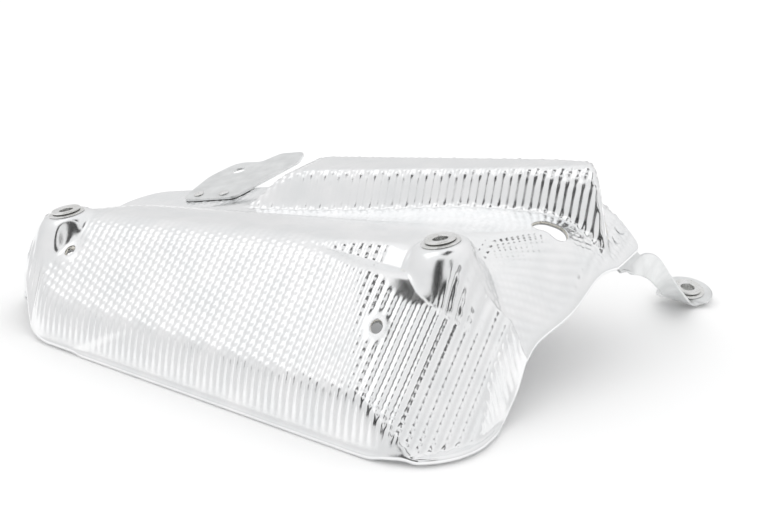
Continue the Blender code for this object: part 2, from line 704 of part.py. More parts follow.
# ---- Assembly ---------------------------------------------------------------------------------------
def main():
    for obj in list(bpy.data.objects):
        bpy.data.objects.remove(obj, do_unlink=True)
    parts = bpy.data.collections.new("exhaust_manifold_heat_shield")
    cutters = bpy.data.collections.new("cutters")
    for collection in (parts, cutters):
        bpy.context.scene.collection.children.link(collection)
    mats = {
        "outer": material("bright_aluminium", (0.86, 0.87, 0.88), 0.3, 1.0),
        "inner": material("dull_aluminium", (0.7, 0.71, 0.72), 0.45, 1.0),
        "mat": material("glass_fibre_mat", (0.78, 0.75, 0.68), 0.9, 0.0),
        "steel": material("plated_steel", (0.62, 0.62, 0.61), 0.35, 1.0),
        "mesh": material("knitted_wire", (0.4, 0.39, 0.38), 0.6, 1.0),
        "strap": material("aluminised_steel", (0.55, 0.55, 0.54), 0.45, 1.0),
    }

    left, right = (sheet_axis(*seat) for seat in (LEFT_SEAT, RIGHT_SEAT))
    side = seat_matrix(EYE_CENTRE, EYE_NORMAL)
    side_rivets = [sheet_axis(*p) for p in SIDE_RIVETS]
    rear_rivets = [rear_tab_axis(*p) for p in REAR_RIVETS]
    slot_z = float(sheet_height(np.array(SLOT_CENTRE[0]), np.array(SLOT_CENTRE[1])))
    slot = seat_matrix((*SLOT_CENTRE, slot_z), (0.25, -0.2, 1.0))

    holes = [(left, SEAT_HOLE_R, 8.0, 0.0, 32), (right, SEAT_HOLE_R, 8.0, 0.0, 32)]
    holes += [(slot, SLOT_R, 25.0, SLOT_HALF_STRAIGHT, 28)]
    holes += [(sheet_axis(*p), LOCATING_R, 8.0) for p in LOCATING_HOLES]
    holes += [(m, RIVET_HOLE_R, 9.0, 0.0, 12) for m in side_rivets + rear_rivets]
    sheet_cutter = add_cutter("sheet_holes", cutters, holes)
    strap_holes = [(side, EYE_HOLE_R, 8.0, 0.0, 32)]
    strap_holes += [(m, RIVET_HOLE_R, 9.0, 0.0, 12) for m in side_rivets]
    strap_cutter = add_cutter("strap_holes", cutters, strap_holes)
    tab_holes = [(rear_tab_axis(*REAR_TAB_HOLE), REAR_TAB_HOLE_R, 8.0)]
    tab_holes += [(m, RIVET_HOLE_R, 9.0, 0.0, 12) for m in rear_rivets]
    tab_cutter = add_cutter("tab_holes", cutters, tab_holes)

    make_outer_sheet(parts, mats["outer"], sheet_cutter)
    make_layer("insulation_mat", MAT_OFFSET, MAT_T, parts, mats["mat"], sheet_cutter)
    make_layer("inner_sheet", INNER_OFFSET, SHEET_T, parts, mats["inner"], sheet_cutter)
    make_side_bracket(parts, mats["strap"], strap_cutter)
    make_rear_tab(parts, mats["strap"], tab_cutter)

    make_decoupler("left", left, LAMINATE_T, parts, mats)
    make_decoupler("right", right, LAMINATE_T, parts, mats)
    make_decoupler("side", side, BRACKET_T, parts, mats)
    under_side = -SIDE_TAB_OFFSET - BRACKET_T - LAYER_GAP
    for k, matrix in enumerate(side_rivets, 1):
        make_rivet("side_rivet_%d" % k, matrix, 0.5, under_side - 0.3, parts, mats["steel"])
    top_rear = BRACKET_T + LAYER_GAP
    for k, matrix in enumerate(rear_rivets, 1):
        make_rivet("rear_rivet_%d" % k, matrix, top_rear, -LAMINATE_T - 1.0, parts, mats["steel"])

    shield = bpy.data.objects.new("shield_origin", None)
    parts.objects.link(shield)
    shield.location = -Vector(ORIGIN) * MM
    for obj in list(parts.objects) + list(cutters.objects):
        if obj.parent is None and obj is not shield:
            obj.parent = shield
    bpy.context.view_layer.update()


main()
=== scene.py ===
"""Visual model of the exhaust-manifold heat shield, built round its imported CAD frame.

Lengths in the shape code are millimetres, measured from the point of the bench below the middle of the
line that joins the two top bolt seats, as in the CAD source; to_frame() turns them into frame metres.
"""

import math

import bmesh
import bpy
import numpy as np
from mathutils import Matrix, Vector


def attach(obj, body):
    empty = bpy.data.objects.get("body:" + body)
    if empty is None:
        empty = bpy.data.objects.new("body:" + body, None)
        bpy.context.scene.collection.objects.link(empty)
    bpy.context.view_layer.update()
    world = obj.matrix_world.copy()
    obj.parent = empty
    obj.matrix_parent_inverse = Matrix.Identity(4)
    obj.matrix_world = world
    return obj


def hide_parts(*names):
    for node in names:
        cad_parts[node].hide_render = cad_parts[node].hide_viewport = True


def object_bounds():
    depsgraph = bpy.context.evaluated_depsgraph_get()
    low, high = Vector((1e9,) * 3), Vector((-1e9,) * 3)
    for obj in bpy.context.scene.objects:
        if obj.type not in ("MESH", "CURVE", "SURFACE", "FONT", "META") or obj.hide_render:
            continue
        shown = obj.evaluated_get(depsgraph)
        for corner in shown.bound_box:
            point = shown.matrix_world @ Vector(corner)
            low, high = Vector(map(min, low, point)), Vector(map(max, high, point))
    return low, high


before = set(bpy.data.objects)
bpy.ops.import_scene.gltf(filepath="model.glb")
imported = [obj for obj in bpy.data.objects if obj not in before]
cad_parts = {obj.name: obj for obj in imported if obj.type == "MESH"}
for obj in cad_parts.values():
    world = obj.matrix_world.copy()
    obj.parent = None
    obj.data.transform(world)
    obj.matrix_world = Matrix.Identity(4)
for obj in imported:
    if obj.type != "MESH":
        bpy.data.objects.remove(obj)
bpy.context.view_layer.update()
MM = 0.001
ORIGIN = np.array([24.14, 62.705, 0.09])


def to_frame(points):
    """Frame metres of points given in the shape code's millimetres."""
    return (np.asarray(points, float) - ORIGIN) * MM


# Laminate: outer sheet, glass-fibre mat, inner sheet, with a small clearance between the layers.
SHEET_T = 0.5
MAT_T = 0.8
LAYER_GAP = 0.3
MAT_OFFSET = SHEET_T + LAYER_GAP
INNER_OFFSET = MAT_OFFSET + MAT_T + LAYER_GAP
LAMINATE_T = INNER_OFFSET + SHEET_T
OUTER_SKIN_T = 0.45

# Hem: the outer sheet is rolled round the edge of the other layers.
HEM_R = 1.9
HEM_RETURN = 3.0

# Lines in plan, each a point and a unit normal. A wall's normal points to the inside of the shield, and
# the tub end's points down its slope.
LEFT_WALL_LINE = (-172.0, 6.0, 0.98, 0.204)
CORNER_WALL_LINE = (-121.0, -48.0, 0.727, 0.686)
TUB_END_LINE = (141.0, -3.0, 0.806, -0.592)

# Tub: the top plane, the sloping front face and the steep lower walls. The rim rises a little at both
# ends of the front, so that the rolled hem there stays above the bench.
RIM_Z = 2.0
RIGHT_LIFT = 2.0
LEFT_LIFT = 0.9
FRONT_Y = -67.5
FRONT_SKEW = -0.161
FRONT_COS = 1.0 / math.hypot(1.0, FRONT_SKEW)
TOP_Z = 75.0
TOP_DX = 0.087
TOP_DY = -0.04
WALL_SLOPE = 3.4
BEND_D = 8.0
BEND_Z = WALL_SLOPE * BEND_D
FACE_SLOPE = 0.95
LEFT_RIM_RISE = 44.0
DECK_STEP = 8.0
BEHIND_Z = 66.0
BEHIND_SLOPE = 0.9

# Right end of the tub and the web behind it.
TUB_END_Z = 76.0
TUB_END_SLOPE = 1.27
WEB_SLOPE = 1.3
CREASE_Y = -3.0
CREASE_SKEW = 0.1
END_ROUNDING = 0.45

# Bolt seats: M8 studs through floating sleeves. The two top seats are parallel.
SEAT_TILT_X = 0.162
SEAT_TILT_Y = 0.061
SEAT_CELL = 11.5  # half the side of the square of regular grid round a seat
SEAT_HOLE_R = 9.3
LEFT_SEAT = (-126.5, 0.0)
RIGHT_SEAT = (126.5, 0.0)
TOWER_SLOPE = 2.2
SHOULDER_R = 11.6
SHOULDER_TURN = 0.13
SHOULDER_BLEND = 2.5
TOWER_BLEND = 3.0
# Scoop in the sheet in front of each seat: its depth, how far in front of the bolt it ends, blend width.
SCOOPS = ((LEFT_SEAT, 5.0, 9.0, 9.0), (RIGHT_SEAT, 11.0, 12.0, 3.0))
SCOOP_R = 19.0
SCOOP_SLOPE = 0.28

# Dome over the rear of the shield, with the front, left, right and rear planes of its walls.
DOME_Z = 87.6
DOME_DX = 0.131
DOME_SLOPE = 2.6
DOME_FOOT_Z = 55.0
DOME_FOOT_DX = 0.09
DOME_FRONT_Y = 67.0
DOME_FRONT_SKEW = 0.04
DOME_LEFT_X = -42.0
DOME_LEFT_Z = 60.0
DOME_RIGHT_X = 189.5
DOME_END_SLOPE = 6.5
DOME_END_SKEW = 0.5
DOME_END_Y = 85.0
DOME_END_Z = 75.0
DOME_REAR_Z = 64.0
REAR_Y = 131.0
REAR_SLOPE = 2.4
NECK_Z = 74.6
NECK_X = 188.0
NECK_SLOPE = 0.75
NECK_TILT = 0.3
NECK_Y = 86.0
ARCH_REACH = 38.0
ARCH_BEND = 0.0065

# Holes in the laminate.
SLOT_CENTRE = (165.0, 60.0)
SLOT_R = 7.0
SLOT_HALF_STRAIGHT = 3.5
LOCATING_HOLES = ((-110.0, -19.0), (113.0, -47.5))
LOCATING_R = 3.25
PAD_R = 4.2
PAD_SHARES = (0.7, 1.0)
PAD_BLENDS = (7.5, 4.5)

# Brackets and their rivets.
BRACKET_T = 1.5
RIVET_R = 1.6
RIVET_HEAD_R = 3.4
RIVET_HEAD_T = 1.1
SIDE_RIVETS = ((194.4, 90.0), (193.0, 98.0))
REAR_RIVETS = ((-100.0, 103.0), (-80.0, 103.0))
SIDE_TAB_OFFSET = 2.0 * HEM_R + 3.0 * LAYER_GAP
REAR_TAB_GAP = 0.4
EYE_CENTRE = (208.5, 197.5, 6.2)
EYE_NORMAL = (0.147, -0.135, 0.98)
EYE_HOLE_R = 9.3

# Floating-sleeve decoupler, one in each bolt seat.
BORE_R = 4.25
SLEEVE_R = 5.05
SLEEVE_FLANGE_R = 8.9
MESH_IN_R = 5.85
MESH_OUT_R = 7.6
RETAINER_IN_R = 8.4
RETAINER_OUT_R = 9.0
RETAINER_FLANGE_R = 11.0
RETAINER_FOOT_R = 10.2
RETAINER_T = 0.5
RETAINER_GAP = 0.35
WASHER_T = 1.2
MESH_PROUD = 0.4

# Outline of the shield seen from above: corner points, each with its fillet radius, anticlockwise from
# the left end of the front rim.
OUTLINE = (
    (-119.0, -48.3, 40.0),
    (174.0, -95.5, 42.0),
    (177.0, -10.0, 60.0),
    (176.0, 8.0, 40.0),
    (195.0, 62.0, 24.0),
    (200.5, 74.0, 5.0),
    (204.5, 99.0, 6.0),
    (187.0, 111.0, 14.0),
    (174.0, 131.0, 14.0),
    (-30.0, 131.0, 20.0),
    (-48.0, 114.0, 20.0),
    (-152.0, 114.0, 30.0),
    (-178.0, 44.0, 60.0),
    (-172.0, 7.0, 14.0),
)


# ---- Shape of the pressed sheet -----------------------------------------------------------------------
SLOPE_STEP = 0.4


def smooth_step(t):
    t = np.clip(t, 0.0, 1.0)
    return t * t * (3.0 - 2.0 * t)


def smooth_min(a, b, width):
    h = np.clip(0.5 + 0.5 * (b - a) / width, 0.0, 1.0)
    return b * (1.0 - h) + a * h - width * h * (1.0 - h)


def smooth_max(a, b, width):
    return -smooth_min(-a, -b, width)


def right_rim_z(y):
    """Height of the right rim, which climbs from the bench to the neck in two easy steps."""
    return 20.0 * (1.0 + np.tanh((y + 5.0) / 20.0)) + 18.0 * (1.0 + np.tanh((y - 56.0) / 18.0))


def rear_flange_z(x, y):
    """Plane of the flange at the rear left, on which the rear tab is riveted."""
    return 48.0 + 0.18 * (x + 104.0) + 0.182 * (y - 97.0)


def beyond_line(line, x, y):
    """Distance beyond a line in plan, along its normal."""
    px, py, nx, ny = line
    return nx * (x - px) + ny * (y - py)


def tub_height(x, y):
    """The top deck, the front face and the walls below it, and the slope behind the left seat."""
    front = (y - FRONT_Y - FRONT_SKEW * x) * FRONT_COS
    corner = beyond_line(CORNER_WALL_LINE, x, y)
    left = beyond_line(LEFT_WALL_LINE, x, y)
    top = TOP_Z + TOP_DX * x + TOP_DY * y
    behind = BEHIND_Z - BEHIND_SLOPE * (0.776 * y - 0.631 * x - 94.5)
    top = top - DECK_STEP * smooth_step((y - 28.0) / 34.0)
    top = smooth_min(top, behind, 14.0)
    top = smooth_max(top, rear_flange_z(x, y), 8.0)
    face = BEND_Z + FACE_SLOPE * (front - BEND_D)
    left_rim = LEFT_RIM_RISE * smooth_step((y - 30.0) / 70.0)
    z = smooth_min(top, face, 10.0)
    wall = smooth_min(WALL_SLOPE * front, WALL_SLOPE * corner, 30.0)
    wall = smooth_min(wall, left_rim + WALL_SLOPE * left, 21.0)
    return smooth_min(z, RIM_Z + wall, 7.0)


def web_height(x, y):
    """The right end of the tub in front of the crease, and the web that carries the neck behind it."""
    end = TUB_END_Z - TUB_END_SLOPE * beyond_line(TUB_END_LINE, x, y)
    rim = right_rim_z(y)
    web = rim + WEB_SLOPE * (right_rim_x(y) - x)
    crease_y = CREASE_Y + CREASE_SKEW * (x - TUB_END_LINE[0])
    behind = smooth_step((y - crease_y + 1.0) / 4.0)
    lip = rim + WALL_SLOPE * (right_rim_x(y) - x)
    return smooth_min(end * (1.0 - behind) + web * behind, lip, 4.0)


def dome_height(x, y):
    """The dome's sloping top and the walls round it, with a rounder edge towards its right end."""
    top = DOME_Z + DOME_DX * x
    front = DOME_FOOT_Z + DOME_FOOT_DX * x + DOME_SLOPE * (y - DOME_FRONT_Y - DOME_FRONT_SKEW * x)
    right = DOME_END_Z + DOME_END_SLOPE * (DOME_RIGHT_X - x - DOME_END_SKEW * (y - DOME_END_Y))
    left = DOME_LEFT_Z + (x - DOME_LEFT_X)
    z = smooth_min(front, right, 30.0)
    z = smooth_min(z, left, 10.0)
    rear = DOME_REAR_Z + REAR_SLOPE * (REAR_Y - y)
    z = smooth_min(z, smooth_min(right, rear, 34.0), 6.0)
    return smooth_min(z, top, 9.0 + 12.0 * smooth_step((x - 135.0) / 40.0))


def seat_plane(seat, x, y):
    """Height of the plane of a top bolt seat."""
    cx, cy = seat
    centre = TOP_Z + TOP_DX * cx + TOP_DY * cy
    return centre + SEAT_TILT_X * (x - cx) + SEAT_TILT_Y * (y - cy)


def add_seat(z, seat, x, y, depth, reach, blend):
    """Raise a round-shouldered tower for a bolt seat, with a smooth scoop in the sheet in front of it."""
    cx, cy = seat
    r = np.hypot(x - cx, y - cy)
    plane = seat_plane(seat, x, y)
    scoop = plane - depth + SCOOP_SLOPE * (r - SCOOP_R) + np.maximum(y - cy + reach, 0.0)
    z = smooth_min(z, scoop, blend)
    over = np.maximum(r - SHOULDER_R, 0.0)
    shoulder = TOWER_SLOPE / (2.0 * SHOULDER_TURN)
    drop = SHOULDER_TURN * np.minimum(over, shoulder) ** 2 + TOWER_SLOPE * np.maximum(over - shoulder, 0.0)
    z = smooth_max(z, plane - drop, TOWER_BLEND)
    inside = 1.0 - smooth_step((r - SHOULDER_R) / SHOULDER_BLEND)
    return z * (1.0 - inside) + plane * inside


def neck_plane(x, y):
    """The flat end of the neck, right of NECK_X."""
    return NECK_Z - NECK_SLOPE * (x - NECK_X) + NECK_TILT * (y - NECK_Y)


def front_corner_distance(x, y):
    """Distance inside the outline round its rounded front right corner."""
    (x0, y0, _), (x1, y1, radius), (x2, y2, _) = OUTLINE[0], OUTLINE[1], OUTLINE[2]
    here = np.array([x1, y1])
    before, after = np.array([x0, y0]) - here, np.array([x2, y2]) - here
    before, after = before / np.linalg.norm(before), after / np.linalg.norm(after)
    half = 0.5 * math.acos(float(before @ after))
    cx, cy = here + (before + after) / np.linalg.norm(before + after) * radius / math.sin(half)
    dx, dy = x - cx, y - cy
    front = -before[1] * dx + before[0] * dy
    right = after[1] * dx - after[0] * dy
    wedge = (dx * before[0] + dy * before[1] < 0.0) & (dx * after[0] + dy * after[1] < 0.0)
    return np.where(wedge, radius - np.hypot(dx, dy), radius - np.maximum(front, right))


def sheet_height(x, y):
    """Height of the outer face of the outer sheet above the bench."""
    arch = ARCH_BEND * (ARCH_REACH ** 2 - np.clip(x + ARCH_REACH - NECK_X, 0.0, ARCH_REACH) ** 2)
    neck_y = NECK_Y + (y - NECK_Y) * smooth_step((x - 165.0) / 28.0)
    neck = neck_plane(np.maximum(x, NECK_X), neck_y) + arch
    z = smooth_min(tub_height(x, y), neck, 8.0)
    web = web_height(x, y)
    fading = 1.0 - smooth_step((y - 15.0) / 40.0)
    rounding = END_ROUNDING * fading * np.clip(np.minimum(z, web), 0.0, 80.0)
    z = smooth_min(z, web, 10.0 + rounding)
    floor = RIM_Z + RIGHT_LIFT * smooth_step((x - 115.0) / 40.0)
    floor = floor + LEFT_LIFT * smooth_step((-150.0 - x) / 20.0)
    corner = floor + WALL_SLOPE * front_corner_distance(x, y) + 600.0 * smooth_step((y + 55.0) / 30.0)
    z = smooth_min(z, corner, 4.0)
    z = smooth_max(z, floor, 2.0)
    z = smooth_max(z, dome_height(x, y), 5.0)
    rear = 62.0 + 0.02 * x + REAR_SLOPE * (REAR_Y - y)
    z = smooth_min(z, rear, 12.0)
    for seat, depth, reach, blend in SCOOPS:
        z = add_seat(z, seat, x, y, depth, reach, blend)
    for cx, cy, level, slope_x, slope_y, blend in HOLE_PADS:
        pad = level + slope_x * (x - cx) + slope_y * (y - cy)
        weight = 1.0 - smooth_step((np.hypot(x - cx, y - cy) - PAD_R) / blend)
        z = z * (1.0 - weight) + pad * weight
    return z


def hole_pads():
    """Small flat pads round the locating holes, nearer to level than the sheet they lie in."""
    pads = []
    step = 2.0
    for (cx, cy), share, blend in zip(LOCATING_HOLES, PAD_SHARES, PAD_BLENDS):
        level, ahead, aside = (float(sheet_height(np.array(cx + a), np.array(cy + b)))
                               for a, b in ((0.0, 0.0), (0.0, step), (step, 0.0)))
        pads.append((cx, cy, level, share * (aside - level) / step, share * (ahead - level) / step, blend))
    return pads


# Empty until the outline is known, so that hole_pads() measures the sheet without its own pads.
HOLE_PADS = ()


def sheet_normal(x, y):
    """Unit normal of the outer sheet, pointing up and out."""
    step = SLOPE_STEP
    dx = (sheet_height(x + step, y) - sheet_height(x - step, y)) / (2.0 * step)
    dy = (sheet_height(x, y + step) - sheet_height(x, y - step)) / (2.0 * step)
    n = np.stack([-dx, -dy, np.ones_like(dx)], axis=-1)
    return n / np.linalg.norm(n, axis=-1, keepdims=True)


# ---- Outline ------------------------------------------------------------------------------------------
def filleted(corners, arc_step=math.radians(6.0)):
    """Points of a closed polygon whose corners are replaced by tangent arcs."""
    points = []
    count = len(corners)
    for k, (x, y, radius) in enumerate(corners):
        here = np.array([x, y])
        before = np.array(corners[k - 1][:2]) - here
        after = np.array(corners[(k + 1) % count][:2]) - here
        before /= np.linalg.norm(before)
        after /= np.linalg.norm(after)
        half = 0.5 * math.acos(float(np.clip(before @ after, -1.0, 1.0)))
        start = here + before * radius / math.tan(half)
        centre = here + (before + after) / np.linalg.norm(before + after) * radius / math.sin(half)
        turn = math.pi - 2.0 * half
        side = 1.0 if before[0] * after[1] - before[1] * after[0] < 0.0 else -1.0
        steps = max(2, round(turn / arc_step))
        arm = start - centre
        for s in range(steps + 1):
            a = side * turn * s / steps
            c, sn = math.cos(a), math.sin(a)
            points.append(centre + np.array([c * arm[0] - sn * arm[1], sn * arm[0] + c * arm[1]]))
    return np.array(points)


def filled_in(points, spacing):
    """The same closed polygon with further points along its long straight stretches."""
    out = []
    for here, after in zip(points, np.roll(points, -1, axis=0)):
        parts = max(1, math.ceil(np.linalg.norm(after - here) / spacing))
        out += [here + (after - here) * k / parts for k in range(parts)]
    return np.array(out)


# ---- Dense grid over the outline ----------------------------------------------------------------------
RIM = filled_in(filleted(OUTLINE, math.radians(2.0)), 0.7)


def rim_side(start, end):
    """The stretch of the outline from the point nearest start to the point nearest end."""
    a = int(np.argmin(np.hypot(*(RIM - np.array(start)).T)))
    b = int(np.argmin(np.hypot(*(RIM - np.array(end)).T)))
    index = np.arange(a, b + 1 if b > a else b + 1 + len(RIM)) % len(RIM)
    return RIM[index]


FRONT_SIDE = rim_side((-172.0, 7.0), (160.0, -80.0))
RIGHT_SIDE = rim_side((160.0, -80.0), (175.0, 128.0))
BACK_SIDE = rim_side((175.0, 128.0), (-158.0, 104.0))[::-1]
LEFT_SIDE = rim_side((-158.0, 104.0), (-172.0, 7.0))[::-1]


def right_rim_x(y):
    """Where the right side of the outline is at a given y."""
    return np.interp(y, RIGHT_SIDE[:, 1], RIGHT_SIDE[:, 0])


HOLE_PADS = hole_pads()


def spread(total, density):
    """total + 1 positions from 0 to 1, closer together where density(t) is high."""
    t = np.linspace(0.0, 1.0, 401)
    grown = np.concatenate([[0.0], np.cumsum(0.5 * (density(t)[1:] + density(t)[:-1]))])
    return np.interp(np.linspace(0.0, 1.0, total + 1), grown / grown[-1], t)


def plan_grid(column_count, front_count, middle_count, back_count):
    """Plan positions of a dense grid that fits the outline and runs square through both bolt seats."""
    xs = np.linspace(-175.0, 203.0, column_count + 1)
    seat_left, seat_right = LEFT_SEAT[0] - SEAT_CELL, RIGHT_SEAT[0] + SEAT_CELL
    fan = 35.0 * smooth_step((seat_left - xs) / (seat_left - xs[0]))

    def squeezed(left_x, right_x):
        left_scale = (seat_left - left_x) / (seat_left - xs[0])
        right_scale = (right_x - seat_right) / (xs[-1] - seat_right)
        out = np.where(xs < seat_left, seat_left - (seat_left - xs) * left_scale, xs)
        return np.where(xs > seat_right, seat_right + (xs - seat_right) * right_scale, out)

    front_x = squeezed(FRONT_SIDE[0, 0], FRONT_SIDE[-1, 0])
    front_y = np.interp(front_x, FRONT_SIDE[:, 0], FRONT_SIDE[:, 1])
    back_x = squeezed(BACK_SIDE[0, 0], BACK_SIDE[-1, 0])
    back_y = np.interp(back_x, BACK_SIDE[:, 0], BACK_SIDE[:, 1])
    wall = spread(front_count, lambda t: 1.0 + 1.2 * (1.0 - smooth_step((t - 0.1) / 0.12)))
    riser = spread(back_count, lambda t: (1.0 + 0.9 * np.exp(-((t - 0.53) / 0.1) ** 2)
                                          + smooth_step((t - 0.88) / 0.08)))
    rows = [front_y + (fan - SEAT_CELL - front_y) * f for f in wall]
    rows += [fan + SEAT_CELL * (2.0 * k / middle_count - 1.0) for k in range(1, middle_count)]
    rows += [fan + SEAT_CELL + (back_y - fan - SEAT_CELL) * f for f in riser]
    grid = []
    for y in rows:
        left_x = np.interp(y[0], LEFT_SIDE[:, 1], LEFT_SIDE[:, 0])
        grid.append(np.stack([squeezed(left_x, right_rim_x(y[-1])), y], axis=-1))
    grid[0] = np.stack([front_x, front_y], axis=-1)
    grid[-1] = np.stack([back_x, back_y], axis=-1)
    return np.array(grid)


def border(array):
    """The outermost ring of a grid, anticlockwise seen from above."""
    return np.concatenate([array[0, :-1], array[:-1, -1], array[-1, :0:-1], array[:0:-1, 0]])


# ---- Embossing ----------------------------------------------------------------------------------------
PITCH_X = 4.8
PITCH_Y = 3.6
WEB_PITCH_Y = 4.2
EMBOSS = 0.5
RISER_FLATTENING = 0.68
# Coined area in front of each seat: offset of its middle from the bolt, and its radius.
SMOOTH_AREAS = ((LEFT_SEAT, (3.0, -8.0), 16.0), (RIGHT_SEAT, (-7.0, -9.0), 20.0))


def rim_distance(x, y):
    """Distance in plan from each point to the outline."""
    best = np.full(x.shape, 1e9)
    for px, py in RIM[::4]:
        np.minimum(best, (x - px) ** 2 + (y - py) ** 2, out=best)
    return np.sqrt(best)


def emboss(x, y):
    """Height of the rolled-in pattern: ribs of staggered beads that the press draws out on steep walls."""
    step = SLOPE_STEP
    gx = np.abs(sheet_height(x + step, y) - sheet_height(x - step, y)) / (2.0 * step)
    gy = np.abs(sheet_height(x, y + step) - sheet_height(x, y - step)) / (2.0 * step)
    steep = np.hypot(gx, gy)
    facing = gy ** 2 / (gx ** 2 + gy ** 2 + 1e-6)
    drawn = smooth_step((steep - 1.3) / 1.3)
    across = smooth_step((0.5 - facing) / 0.3) * drawn
    ribs = np.cos(2.0 * np.pi * x / PITCH_X)
    beads = np.cos(np.pi * x / PITCH_X) * np.cos(2.0 * np.pi * y / PITCH_Y)
    side_ribs = np.cos(2.0 * np.pi * y / PITCH_X)
    lines = (ribs * (1.0 - across) + side_ribs * across) * (0.55 + 0.45 * drawn)
    pattern = lines + 0.62 * beads * (1.0 - drawn)
    corner = smooth_step((x - 62.0) / 24.0) * smooth_step((12.0 - y) / 24.0) * (1.0 - drawn)
    pattern = pattern * (1.0 - corner) + (0.8 * ribs + 0.36 * beads) * corner
    on_web = smooth_step((x - 143.0 + 0.12 * y) / 8.0) * smooth_step((y + 4.0) / 8.0)
    on_web = on_web * (1.0 - smooth_step((y - 66.0) / 10.0)) * (1.0 - smooth_step((x - 183.0) / 6.0))
    dimples = ribs * np.cos(2.0 * np.pi * y / WEB_PITCH_Y)
    pattern = pattern * (1.0 - on_web) + 0.8 * dimples * on_web
    relief = 0.25 + 0.75 * smooth_step((steep - 0.25) / 0.4)
    relief = relief * (1.0 - RISER_FLATTENING * drawn * smooth_step((y - 40.0) / 12.0))
    return EMBOSS * pattern * relief * emboss_mask(x, y)


def emboss_mask(x, y):
    """1 where the pattern stands at full height, 0 where the press has coined it flat."""
    mask = smooth_step((rim_distance(x, y) - 1.2) / 3.0)
    for (cx, cy), (dx, dy), reach in SMOOTH_AREAS:
        mask = mask * smooth_step((np.hypot(x - cx, y - cy) - 16.5) / 4.0)
        mask = mask * smooth_step((np.hypot(x - cx - dx, y - cy - dy) - reach) / 5.0)
    for cx, cy in LOCATING_HOLES:
        mask = mask * smooth_step((np.hypot(x - cx, y - cy) - LOCATING_R - 2.6) / 3.0)
    sx, sy = SLOT_CENTRE
    slot = np.hypot(np.maximum(np.abs(x - sx) - SLOT_HALF_STRAIGHT, 0.0), y - sy)
    return mask * smooth_step((slot - SLOT_R - 1.5) / 3.0)


# ---- Meshes -------------------------------------------------------------------------------------------
def new_object(name, points, faces, mat):
    """A smooth-shaded object from points in the shape code's millimetres."""
    mesh = bpy.data.meshes.new(name)
    mesh.from_pydata([tuple(p) for p in to_frame(points)], [], [tuple(f) for f in faces])
    mesh.validate()
    mesh.update()
    obj = bpy.data.objects.new(name, mesh)
    bpy.context.scene.collection.objects.link(obj)
    mesh.materials.append(mat)
    mesh.shade_smooth()
    return obj


def thicken(obj, thickness):
    """Give an open surface its thickness, on the side its normals point away from."""
    mod = obj.modifiers.new("thickness", "SOLIDIFY")
    mod.thickness = thickness * MM
    mod.offset = -1.0


def finish_piece(obj, body, node):
    """Let a piece stand for a CAD node and ride on a body."""
    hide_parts(node)
    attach(obj, body)


def grid_faces(rows, cols):
    """The quads of a grid of points stored row by row."""
    index = np.arange(rows * cols).reshape(rows, cols)
    quads = np.stack([index[:-1, :-1], index[:-1, 1:], index[1:, 1:], index[1:, :-1]], axis=-1)
    return quads.reshape(-1, 4)


def hole_list():
    """Round and oblong holes through the laminate: centre, radius and half straight length."""
    holes = [(LEFT_SEAT, SEAT_HOLE_R + 0.2, 0.0), (RIGHT_SEAT, SEAT_HOLE_R + 0.2, 0.0)]
    holes += [(p, LOCATING_R, 0.0) for p in LOCATING_HOLES]
    return holes + [(SLOT_CENTRE, SLOT_R, SLOT_HALF_STRAIGHT)]


def open_holes(obj, depth, cuts):
    """Refine the sheet round each hole, drop what lies inside it and pull the loop left onto its edge."""
    bm = bmesh.new()
    bm.from_mesh(obj.data)
    margin, refined, below = 2.5, 1.6, 14.0

    def place(v):
        """Plan position of a vertex, the hole's middle nearest to it and its distance from that."""
        x, y = (np.array(v.co) / MM + ORIGIN)[:2]
        mid = min(max(x - cx, -half), half)
        return x, y, cx + mid, cy, math.hypot(x - cx - mid, y - cy)

    def nearby():
        """The vertices round the hole, with their distances from its middle, and none of the hem below."""
        return [(v, place(v)[-1]) for v in bm.verts
                if low[0] < v.co.x < high[0] and low[1] < v.co.y < high[1] and v.co.z > deep]

    for (cx, cy), radius, half in hole_list():
        low = to_frame((cx - half - radius - margin, cy - radius - margin, 0.0))
        high = to_frame((cx + half + radius + margin, cy + radius + margin, 0.0))
        deep = to_frame((0.0, 0.0, float(sheet_height(np.array(cx), np.array(cy))) - below))[2]
        band = {v for v, r in nearby() if abs(r - radius) < refined}
        edges = [e for e in {e for v in band for e in v.link_edges} if band.issuperset(e.verts)]
        bmesh.ops.subdivide_edges(bm, edges=edges, cuts=cuts, use_grid_fill=True)
        inside = {v for v, r in nearby() if r < radius}
        loop = {w for v in inside for f in v.link_faces for w in f.verts} - inside
        for v in loop:
            x, y, mx, my, r = place(v)
            x, y = mx + (x - mx) * radius / r, my + (y - my) * radius / r
            spot = np.array(x), np.array(y)
            point = np.array([x, y, float(sheet_height(*spot))]) - depth * sheet_normal(*spot)
            v.co = Vector(to_frame(point))
        bmesh.ops.delete(bm, geom=list(inside), context="VERTS")
    bm.to_mesh(obj.data)
    bm.free()


def surface(plan, depth, relief):
    """Points at a depth below the outer face, with the embossing scaled by relief, and their normals.

    The hidden layers sag a little more below the tight bends round the left locating hole.
    """
    x, y = plan[..., 0], plan[..., 1]
    base = np.stack([x, y, sheet_height(x, y)], axis=-1)
    normal = sheet_normal(x, y)
    raised = relief * emboss(x, y) if relief else np.zeros_like(x)
    if depth > 0.0:
        cx, cy = LOCATING_HOLES[0]
        raised = raised - 1.3 * (1.0 - smooth_step((np.hypot(x - cx, y - cy) - 11.0) / 6.0))
    return base + normal * (raised - depth)[..., None], normal


